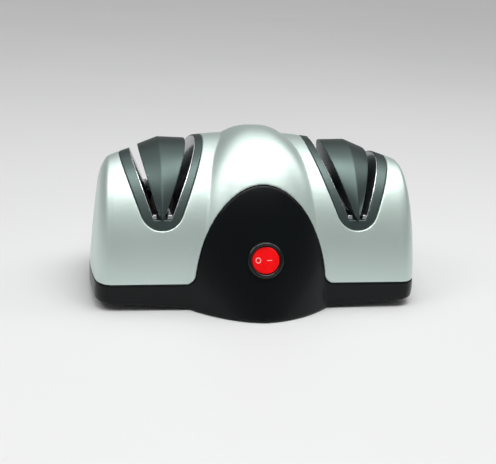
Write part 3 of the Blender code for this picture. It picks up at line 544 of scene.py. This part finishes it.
def abrasive_material(name, colour, grit_colour, scale):
    """Bonded abrasive: light grit in a darker bond, rough all over."""
    made = finish_material(name, colour, [c * 0.8 for c in colour], (0.7, 0.95), patch=60,
                           grain=scale, bump=0.12)
    tree = made.node_tree
    shader = tree.nodes["Principled BSDF"]
    coords = node(tree, "ShaderNodeTexCoord")
    cells = node(tree, "ShaderNodeTexVoronoi")
    cells.inputs["Scale"].default_value = scale
    tree.links.new(coords.outputs["Object"], cells.inputs["Vector"])
    grit = node(tree, "ShaderNodeMapRange")
    grit.inputs["From Min"].default_value = 0.25
    grit.inputs["From Max"].default_value = 0.1
    tree.links.new(cells.outputs["Distance"], grit.inputs["Value"])
    mix = node(tree, "ShaderNodeMix", data_type="RGBA")
    mix.inputs["B"].default_value = (*grit_colour, 1)
    old = shader.inputs["Base Color"].links[0].from_socket
    tree.links.new(old, mix.inputs["A"])
    tree.links.new(grit.outputs["Result"], mix.inputs["Factor"])
    tree.links.new(mix.outputs["Result"], shader.inputs["Base Color"])
    return made


def layered_material(name, colour, shade, axis, pitch, rough, metallic):
    """Stacked laminations or wound wire: fine lines repeated along one axis."""
    made = finish_material(name, colour, shade, rough, metallic, patch=80, grain=1200, bump=0.02)
    tree = made.node_tree
    shader = tree.nodes["Principled BSDF"]
    coords = node(tree, "ShaderNodeTexCoord")
    waves = node(tree, "ShaderNodeTexWave", bands_direction=axis)
    waves.inputs["Scale"].default_value = math.pi / 10 / pitch
    waves.inputs["Distortion"].default_value = 0.3
    tree.links.new(coords.outputs["Object"], waves.inputs["Vector"])
    dark = node(tree, "ShaderNodeMix", data_type="RGBA", blend_type="MULTIPLY")
    dark.inputs["Factor"].default_value = 0.6
    old = shader.inputs["Base Color"].links[0].from_socket
    tree.links.new(old, dark.inputs["A"])
    tree.links.new(waves.outputs["Color"], dark.inputs["B"])
    tree.links.new(dark.outputs["Result"], shader.inputs["Base Color"])
    relief = node(tree, "ShaderNodeBump")
    relief.inputs["Distance"].default_value = 0.15 * MM
    tree.links.new(waves.outputs["Fac"], relief.inputs["Height"])
    tree.links.new(shader.inputs["Normal"].links[0].from_socket, relief.inputs["Normal"])
    tree.links.new(relief.outputs["Normal"], shader.inputs["Normal"])
    return made


def make_materials():
    return {
        "silver_plastic": finish_material(
            "silver_lacquer", (0.62, 0.73, 0.687), (0.595, 0.705, 0.661), (0.40, 0.48), 0.82,
            patch=9, grain=5200, bump=0.006, coat=0.35, coat_rough=0.28),
        "black_plastic": finish_material(
            "black_moulding", (0.0012, 0.0024, 0.0028), (0.0018, 0.0032, 0.0036), (0.19, 0.26),
            patch=18, grain=2600, bump=0.003, specular=0.22),
        "bezel": finish_material(
            "bezel_moulding", (0.006, 0.007, 0.0075), (0.008, 0.009, 0.0095), (0.12, 0.18),
            patch=90, grain=2600, bump=0.002, coat=0.12, specular=0.25),
        # The grey frames carry a painted highlight: a lighter colour along their proud edges.
        "grey_plastic": finish_material(
            "grey_moulding", (0.084, 0.114, 0.107), (0.070, 0.096, 0.090), (0.34, 0.43), 0.86,
            patch=30, grain=3800, bump=0.010, painted_edge_highlight=(0.13, 0.17, 0.16), specular=0.25),
        "polished_steel": finish_material(
            "polished_steel", (0.78, 0.79, 0.80), (0.70, 0.71, 0.73), (0.12, 0.24), 1.0,
            patch=40, grain=1500, bump=0.006, stretch=(1, 0.03, 1)),
        "zinc_plated": finish_material(
            "zinc_plating", (0.60, 0.61, 0.60), (0.48, 0.49, 0.50), (0.25, 0.45), 1.0,
            patch=90, grain=2200, bump=0.015),
        "red_plastic": finish_material(
            "red_rocker", (0.96, 0.005, 0.007), (0.86, 0.003, 0.005), (0.25, 0.34),
            patch=120, grain=3000, bump=0.004, specular=0.18),
        "rubber": finish_material(
            "black_rubber", (0.030, 0.030, 0.031), (0.045, 0.045, 0.044), (0.7, 0.88),
            patch=150, grain=2600, bump=0.05),
        "enamelled_copper": layered_material(
            "copper_winding", (0.56, 0.20, 0.07), (0.46, 0.15, 0.05), "Y", 0.45 * MM, (0.25, 0.4), 0.9),
        "laminated_iron": layered_material(
            "iron_laminations", (0.24, 0.24, 0.25), (0.17, 0.165, 0.16), "X", 0.5 * MM, (0.4, 0.6), 0.9),
        "sintered_bronze": finish_material(
            "sintered_bronze", (0.46, 0.32, 0.14), (0.36, 0.25, 0.11), (0.4, 0.6), 1.0,
            patch=200, grain=4000, bump=0.05),
        "white_nylon": finish_material(
            "white_nylon", (0.74, 0.72, 0.65), (0.68, 0.66, 0.58), (0.4, 0.55),
            patch=60, grain=2600, bump=0.02),
        "coarse_abrasive": abrasive_material(
            "coarse_abrasive", (0.105, 0.095, 0.09), (0.26, 0.24, 0.22), 1400),
        "fine_abrasive": abrasive_material(
            "fine_abrasive", (0.62, 0.63, 0.62), (0.85, 0.86, 0.86), 2800),
        "brown_insulation": finish_material(
            "brown_insulation", (0.17, 0.06, 0.03), (0.13, 0.045, 0.02), (0.3, 0.42), patch=70,
            grain=2000, bump=0.01),
        "blue_insulation": finish_material(
            "blue_insulation", (0.02, 0.09, 0.36), (0.015, 0.07, 0.28), (0.3, 0.42), patch=70,
            grain=2000, bump=0.01),
        "mark": finish_material(
            "white_mark", (0.92, 0.50, 0.48), (0.86, 0.40, 0.38), (0.3, 0.42), patch=300, grain=3000,
            bump=0.004),
    }


def dress(obj, slot_name):
    """Give a new piece its material and its slot."""
    obj.data.materials.clear()
    obj.data.materials.append(MATERIALS[slot_name])


# ---------------------------------------------------------------- casings

def casing_shell():
    """Silver moulding: wings and hood, hollow, cut for the black front and the two stations."""
    shell = new_object("casing_shell", wing_body())
    boolean(shell, tool(hood_body()), "UNION")
    boolean(shell, tool(wing_body(WALL, WALL, 16, 16)))
    boolean(shell, tool(hood_body(WALL, WALL, 18, 64)))
    far = 2 * REACH
    boolean(shell, tool(box((-far, -far, -far), (far, far, PARTING_Z + GAP))))
    boolean(shell, tool(prism(arch_outline(GAP), -REACH, ARCH_BACK)))
    for side in (-1, 1):
        opening = shifted(v_outline(0, CUT_TOP), side * STATION_X)
        boolean(shell, tool(prism(opening, -REACH, REACH)))
    soften(shell, CASING_VOXEL, CASING_SHARE)
    dress(shell, "silver_plastic")
    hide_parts("upper_casing")
    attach(shell, "housing")


def base_shell():
    """Black moulding: the plinth, and the arched front that rises into the hood."""
    tray = new_object("base_shell", wing_body())
    boolean(tray, tool(hood_body()), "UNION")
    far = 2 * REACH
    region = tool(box((-far, -far, -20 * MM), (far, far, PARTING_Z)))
    boolean(region, tool(prism(arch_outline(0), -REACH, ARCH_BACK)), "UNION")
    boolean(tray, region, "INTERSECT")
    pad = cylinder((0, 60 * MM, INLET_Z), (0, inlet_face(), INLET_Z), INLET_PAD_RADIUS, 64)
    boolean(tray, tool(pad), "UNION")
    boolean(tray, tool(wing_body(WALL, WALL, 16, 16)))
    boolean(tray, tool(hood_body(WALL, WALL, 18, 64)))
    cut_base(tray)
    soften(tray, CASING_VOXEL, CASING_SHARE)
    dress(tray, "black_plastic")
    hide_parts("base_casing")
    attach(tray, "housing")


def cut_base(tray):
    """Screw posts, feet sockets, inlet, switch hole and vents."""
    posts, heads, shanks = [], [], []
    for x, y in screw_places():
        top = PARTING_Z - 0.2 * MM
        posts.append(cylinder((x, y, POST_FOOT_Z), (x, y, top), SCREW_POST_RADIUS, 32))
        heads.append(cylinder((x, y, BELOW_BASE), (x, y, 8 * MM), SCREW_HEAD_RADIUS, 32))
        shanks.append(cylinder((x, y, 7 * MM), (x, y, 30 * MM), SHANK_RADIUS, 24))
    for x in (-MOTOR_SCREW_X, MOTOR_SCREW_X):
        for y in (-MOTOR_SCREW_Y, MOTOR_SCREW_Y):
            posts.append(cylinder((x, y, POST_FOOT_Z), (x, y, MOTOR_POST_TOP), MOTOR_POST_RADIUS, 32))
            shanks.append(cylinder((x, y, 9 * MM), (x, y, 30 * MM), SHANK_RADIUS, 24))
    for post in posts:
        boolean(tray, tool(post), "UNION")
    boolean(tray, tool(merge(*heads)))
    boolean(tray, tool(merge(*shanks)))
    sockets = [cylinder((x, y, BELOW_BASE), (x, y, 2.3 * MM), FOOT_RADIUS + GAP, 64)
               for x, y in foot_places()]
    boolean(tray, tool(merge(*sockets)))
    bore = cylinder((0, 50 * MM, INLET_Z), (0, 90 * MM, INLET_Z), INLET_BORE_RADIUS, 48)
    boolean(tray, tool(bore))
    place = switch_frame()
    start, end = place @ Vector((0, 0, -30 * MM)), place @ Vector((0, 0, 10 * MM))
    boolean(tray, tool(cylinder(start, end, SWITCH_HOLE_RADIUS, 64)))
    vents = []
    for i in range(VENT_COUNT):
        x = (i - VENT_COUNT // 2) * VENT_PITCH * MM
        vents.append(box((x - VENT_HALF_WIDTH, VENT_FRONT_Y, BELOW_BASE),
                         (x + VENT_HALF_WIDTH, VENT_BACK_Y, 8 * MM)))
    boolean(tray, tool(merge(*vents)))


# ---------------------------------------------------------------- stations

def half_width(walls, side, way, z):
    """How far a sloping wall stands from the station's middle at a height."""
    foot, slope = walls["outer" if way == side else "inner"]
    return foot + (z - TROUGH_Z) * slope


def trough_outline(side, grow, low, high):
    corners = ((-1, high), (-1, low), (1, low), (1, high))
    return [(way * (half_width(TROUGH_WALLS, side, way, z) + grow), z) for way, z in corners]


def insert_frame(label, side):
    """The V-shaped frame set in a wing, with the trough for the blades."""
    def through(outline):
        return prism(shifted(outline, side * STATION_X), -REACH, REACH)
    insert = new_object(f"insert_frame_{label}", through(v_outline(GAP, CUT_TOP)))
    boolean(insert, tool(wing_body()), "INTERSECT")
    room = trough_outline(side, GUIDE_THICKNESS + GAP, TROUGH_Z + 0.1 * MM, CUT_TOP)
    pocket = tool(through(room))
    boolean(pocket, tool(wing_body(GUIDE_RECESS - GAP)), "INTERSECT")
    boolean(insert, pocket)
    boolean(insert, tool(through(trough_outline(side, 0, TROUGH_Z, 130 * MM))))
    left, right = side * STATION_X - WINDOW_HALF_WIDTH, side * STATION_X + WINDOW_HALF_WIDTH
    boolean(insert, tool(box((left, -22 * MM, 50 * MM), (right, 22 * MM, TROUGH_Z + 0.7 * MM))))
    top = 125 * MM
    band = v_outline(-1 * MM, top) + trough_outline(side, FRAME_WALL, TROUGH_Z - FRAME_WALL, top)[::-1]
    relief = tool(through(band))
    boolean(relief, tool(wing_body(FRAME_RIM, FRAME_RIM)), "INTERSECT")
    boolean(insert, relief)
    soften(insert, FRAME_VOXEL, FRAME_SHARE)
    dress(insert, "grey_plastic")
    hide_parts(f"guide_frame_{label}")
    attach(insert, "housing")


def wedge_rail(side, way, inset, floor, steps):
    """One of the wedge's three lengthwise lines: left edge (-1), crease (0) or right edge (1)."""
    x = side * STATION_X
    lift = WEDGE_RIDGE if way == 0 else -WEDGE_EDGE
    crown = wing_crown(x + way * half_width(WEDGE_WALLS, side, way, WEDGE_TOP_Z)) + lift - inset
    points = []
    for i in range(2 * steps + 1):
        share = abs(i / steps - 1)
        z = crown - (crown - floor) * share ** 1.6
        reach = (z - PARTING_Z) / (crown - PARTING_Z)
        depth = (wing_depth(x) - inset + lift) * math.sqrt(max(1 - reach ** wing_power(x), 0))
        sideways = way * max(half_width(WEDGE_WALLS, side, way, z) - inset * 1.05, 0.4 * MM)
        end = 0 if i == steps else math.copysign(depth, i - steps)
        points.append((x + sideways, wing_ridge(x) + end, z))
    return points


def wedge_solid(side, inset, floor, steps=40):
    left, middle, right = (wedge_rail(side, way, inset, floor, steps) for way in (-1, 0, 1))
    bm = bmesh.new()
    rows = [[bm.verts.new(point) for point in ring] for ring in zip(left, middle, right)]
    for first, second in zip(rows, rows[1:]):
        for i in (0, 1):
            bm.faces.new((first[i], first[i + 1], second[i + 1], second[i]))
    for column in (0, 2):
        bm.faces.new([row[column] for row in rows])
    bm.faces.new((rows[0][0], rows[0][1], rows[0][2], rows[-1][2], rows[-1][1], rows[-1][0]))
    bmesh.ops.remove_doubles(bm, verts=bm.verts, dist=0.00001)
    bmesh.ops.triangulate(bm, faces=bm.faces)
    return bm


def splitter(label, side):
    """The wedge that parts a station into two slots, with a crease down its face."""
    wedge = new_object(f"splitter_{label}", wedge_solid(side, 0, TROUGH_Z + GAP))
    boolean(wedge, tool(wedge_solid(side, 2 * MM, 60 * MM, 20)))
    x = side * STATION_X
    left, right = x - WHEEL_ROOM_HALF_WIDTH, x + WHEEL_ROOM_HALF_WIDTH
    room = cylinder((left, 0, SHAFT_Z), (right, 0, SHAFT_Z), WHEEL_RADIUS + WHEEL_ROOM, 96)
    boolean(wedge, tool(room))
    soften(wedge, FRAME_VOXEL, FRAME_SHARE)
    dress(wedge, "grey_plastic")
    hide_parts(f"blade_wedge_{label}")
    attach(wedge, "housing")


def liner(label, side, way):
    """Bright steel liner of one slot, with a folded foot and a tab at each end."""
    centre = side * STATION_X
    low, high = TROUGH_Z + 0.4 * MM, CUT_TOP
    corners = ((low, 0), (low, GUIDE_THICKNESS), (high, GUIDE_THICKNESS), (high, 0))
    outline = [(centre + way * (half_width(TROUGH_WALLS, side, way, z) + depth), z)
               for z, depth in corners]
    place = "outer" if way == side else "inner"
    plate = new_object(f"liner_{label}_{place}", prism(outline, -REACH, REACH))
    root = half_width(TROUGH_WALLS, side, way, low) + 0.4 * MM
    for start, near, lift, height in LINER_FOLDS:
        base = low + lift
        left, right = sorted((centre + way * near, centre + way * root))
        for end in (-1, 1):
            front, back = sorted((wing_ridge(STATION_X) + end * start, end * REACH))
            boolean(plate, tool(box((left, front, base), (right, back, base + height))), "UNION")
    boolean(plate, tool(wing_body(GUIDE_RECESS)), "INTERSECT")
    bake_modifiers(plate)
    edge = plate.modifiers.new("Edge", "BEVEL")
    edge.width = 0.12 * MM
    edge.segments = 2
    edge.limit_method = "ANGLE"
    edge.angle_limit = math.radians(40)
    edge.use_clamp_overlap = False
    bake_modifiers(plate)
    plate.data.shade_smooth()
    plate.data.set_sharp_from_angle(angle=math.radians(35))
    dress(plate, "polished_steel")
    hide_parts(f"steel_guide_{label}_{place}")
    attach(plate, "housing")


# ---------------------------------------------------------------- switch, feet and gland

def switch_bezel():
    """Round bezel with the well that the rocker tips in, and the switch's body behind it."""
    lip, seat, barrel = 2.2 * MM, 0.3 * MM, 9.7 * MM
    well, well_floor, back = ROCKER_RADIUS + GAP, -8 * MM, -15 * MM
    front = rounded([(well, -7.6 * MM), (well, lip - 0.6 * MM), (BEZEL_RADIUS - 1.3 * MM, lip),
                     (BEZEL_RADIUS, lip - 0.9 * MM), (BEZEL_RADIUS, seat), (barrel, seat)], 0.6 * MM, 5)
    profile = [(0, well_floor), (well - GAP, well_floor)] + front + [(barrel, back), (0, back)]
    bezel_ring = turned("switch_bezel", profile, switch_frame(), 128)
    dress(bezel_ring, "black_plastic")
    bezel_ring.data.materials[0] = MATERIALS["bezel"]
    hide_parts("switch_housing")
    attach(bezel_ring, "housing")


def rocker_height(x, edge):
    """Height of the rocker's face: two halves sloping down to a soft valley."""
    slope = math.tan(ROCKER_TILT)
    valley = edge - ROCKER_RADIUS * slope
    return valley + math.sqrt(x * x + (0.5 * MM) ** 2) * slope


def rocker_cap():
    """Red disc with a dished face and a rounded rim, in its rest place."""
    radius, deep, edge, lip = ROCKER_RADIUS, -2.5 * MM, 1.7 * MM, 0.5 * MM
    place = switch_frame() @ Matrix.Rotation(-ROCKER_TILT, 4, "Y")
    sides = 128
    shares, rim_angles = (0.12, 0.25, 0.38, 0.5, 0.62, 0.74, 0.85), (0, 22, 45, 67, 90)
    bm = bmesh.new()
    radii = [radius * share for share in shares]
    radii += [radius - lip + lip * math.sin(math.radians(a)) for a in rim_angles]
    drops = [0] * len(shares) + [lip * (1 - math.cos(math.radians(a))) for a in rim_angles]
    loops = []
    for reach, drop in zip(radii, drops):
        loop = []
        for i in range(sides):
            angle = math.tau * i / sides
            x, y = reach * math.cos(angle), reach * math.sin(angle)
            loop.append(bm.verts.new((x, y, rocker_height(x, edge) - drop)))
        loops.append(loop)
    loops.append([bm.verts.new((v.co.x, v.co.y, deep)) for v in loops[-1]])
    for first, second in zip(loops, loops[1:]):
        for i in range(sides):
            j = (i + 1) % sides
            bm.faces.new((first[i], first[j], second[j], second[i]))
    bm.faces.new(loops[0])
    bm.faces.new(loops[-1])
    bmesh.ops.transform(bm, matrix=place, verts=bm.verts)
    cap = new_object("rocker_cap", bm)
    cap.data.shade_smooth()
    cap.data.set_sharp_from_angle(angle=math.radians(40))
    dress(cap, "red_plastic")
    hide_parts("switch_rocker")
    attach(cap, "rocker")
    rocker_marks(place, edge)


def rocker_marks(place, edge):
    """The usual off and on signs, a ring and a bar, printed on the two halves."""
    def on_face(x, y, lift):
        return place @ Vector((x, y, rocker_height(x, edge) + lift))
    ring = bmesh.new()
    loops = []
    sides, centre = 48, -4.6 * MM
    for reach, lift in ((1.2, -0.05), (1.2, 0.05), (1.7, 0.05), (1.7, -0.05)):
        loop = []
        for i in range(sides):
            angle = math.tau * i / sides
            x = centre + reach * MM * math.cos(angle)
            loop.append(ring.verts.new(on_face(x, reach * 1.12 * MM * math.sin(angle), lift * MM)))
        loops.append(loop)
    for first, second in zip(loops, loops[1:] + loops[:1]):
        for i in range(sides):
            j = (i + 1) % sides
            ring.faces.new((first[i], first[j], second[j], second[i]))
    mark = new_object("mark_off", ring)
    bar = box((0.9 * MM, -0.22 * MM, -0.05 * MM), (4.0 * MM, 0.22 * MM, 0.05 * MM))
    for vert in bar.verts:
        vert.co = on_face(vert.co.x, vert.co.y, vert.co.z)
    for made in (mark, new_object("mark_on", bar)):
        made.data.materials.append(MATERIALS["mark"])
        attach(made, "rocker")


def rubber_feet():
    """Four round pads, each with a shallow hollow underneath."""
    names = ("left_front", "left_back", "right_front", "right_back")
    for name, (x, y) in zip(names, foot_places()):
        rim, top, hollow = FOOT_RADIUS, 2.0 * MM, 0.4 * MM
        profile = [(0, top), (rim, top)]
        profile += rounded([(rim, 1.6 * MM), (rim, 0), (rim - 1.5 * MM, 0)], 0.6 * MM, 5)
        profile += rounded([(3.6 * MM, 0), (3.4 * MM, hollow), (0.4 * MM, hollow)], 0.3 * MM, 3)
        profile += [(0, hollow)]
        pad = turned(f"rubber_pad_{name}", profile, Matrix.Translation((x, y, 0)), 72)
        dress(pad, "rubber")
        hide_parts(f"foot_{name}")
        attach(pad, "housing")


def gland():
    """Rubber bush of the cord inlet, with a flange outside."""
    hole, body, flange = 3.2 * MM, 4.8 * MM, 6.6 * MM
    face = inlet_face() + GAP
    outer = face + GLAND_FLANGE
    inner = outer - 10 * MM
    profile = rounded([(hole, inner), (hole, outer), (flange, outer), (flange, face), (body, face),
                       (body, inner)], 0.5 * MM, 4)
    place = Matrix.Translation((0, 0, INLET_Z)) @ Matrix.Rotation(-math.pi / 2, 4, "X")
    bush = turned("gland_bush", profile, place, 72)
    dress(bush, "rubber")
    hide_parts("cord_gland")
    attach(bush, "housing")


# ---------------------------------------------------------------- inner pieces

def inner_pieces():
    """CAD pieces that keep their shape get their material, and softer edges where they are solid."""
    slots = {row["node"]: row["material_slot"] for row in frame["record"]["subparts"]}
    for name, piece in frame["nodes"].items():
        if piece.hide_render:
            continue
        piece.data.materials.clear()
        piece.data.materials.append(MATERIALS[slots[name]])
        weld = piece.modifiers.new("Weld", "WELD")
        weld.merge_threshold = 0.000002
        piece.data.shade_smooth()
        edge = piece.modifiers.new("Edge", "BEVEL")
        edge.width = 0.2 * MM
        edge.segments = 1
        edge.limit_method = "ANGLE"
        edge.angle_limit = math.radians(35)
        edge.harden_normals = True
        edge.use_clamp_overlap = True


# ---------------------------------------------------------------- stage

def area_light(name, place, size, power):
    data = bpy.data.lights.new(name, "AREA")
    data.shape = "RECTANGLE"
    data.size, data.size_y = size
    data.energy = power
    lamp = bpy.data.objects.new(name, data)
    bpy.context.scene.collection.objects.link(lamp)
    lamp.location = place
    aim = Vector(LIGHT_TARGET) - Vector(place)
    lamp.rotation_euler = aim.to_track_quat("-Z", "Y").to_euler()


def camera():
    """The photograph's viewpoint: low, a little left of the middle and slightly rolled."""
    azimuth, elevation, roll = (math.radians(angle) for angle in VIEW_ANGLES)
    back = Vector((math.sin(azimuth) * math.cos(elevation), -math.cos(azimuth) * math.cos(elevation),
                   math.sin(elevation)))
    right = (-back).cross(Vector((0, 0, 1))).normalized()
    up = right.cross(-back)
    across = right * math.cos(roll) + up * math.sin(roll)
    upward = up * math.cos(roll) - right * math.sin(roll)
    place = Vector(VIEW_TARGET) + back * VIEW_DISTANCE * MM
    data = bpy.data.cameras.new("camera")
    data.lens = FOCAL_LENGTH * SENSOR_WIDTH / IMAGE_WIDTH
    data.sensor_width = SENSOR_WIDTH
    made = bpy.data.objects.new("camera", data)
    bpy.context.scene.collection.objects.link(made)
    turn = Matrix((across, upward, back)).transposed().to_4x4()
    made.matrix_world = Matrix.Translation(place) @ turn
    bpy.context.scene.camera = made


def stage():
    """Pale floor, soft surroundings and three lights."""
    floor = new_object("floor", box((-30, -30, -0.02), (30, 30, 0)))
    floor.data.materials.append(finish_material(
        "pale_floor", (0.72, 0.72, 0.72), (0.70, 0.70, 0.705), (0.45, 0.6), patch=3, grain=300,
        bump=0.0, specular=0.3))
    world = bpy.data.worlds.new("studio")
    world.use_nodes = True
    tree = world.node_tree
    sky = tree.nodes["Background"]
    sky.inputs["Color"].default_value = (1.0, 1.0, 1.0, 1)
    direction = node(tree, "ShaderNodeSeparateXYZ")
    coords = node(tree, "ShaderNodeTexCoord")
    tree.links.new(coords.outputs["Generated"], direction.inputs["Vector"])
    total = node(tree, "ShaderNodeMath", operation="ADD")
    for port, limits in zip(total.inputs, SKY_BANDS):
        band = node(tree, "ShaderNodeMapRange", interpolation_type="SMOOTHSTEP")
        for key, value in zip(("From Min", "From Max", "To Min", "To Max"), limits):
            band.inputs[key].default_value = value
        tree.links.new(direction.outputs["Z"], band.inputs["Value"])
        tree.links.new(band.outputs["Result"], port)
    tree.links.new(total.outputs["Value"], sky.inputs["Strength"])
    bpy.context.scene.world = world
    bpy.context.scene.view_settings.view_transform = "Standard"
    for name, (place, size, power) in LIGHTS.items():
        area_light(name, place, size, power)


# ---------------------------------------------------------------- assembly

MATERIALS = make_materials()
camera()
casing_shell()
base_shell()
for station, direction in (("left", -1), ("right", 1)):
    insert_frame(station, direction)
    splitter(station, direction)
    liner(station, direction, direction)
    liner(station, direction, -direction)
switch_bezel()
rocker_cap()
rubber_feet()
gland()
clear_tools()
inner_pieces()
stage()
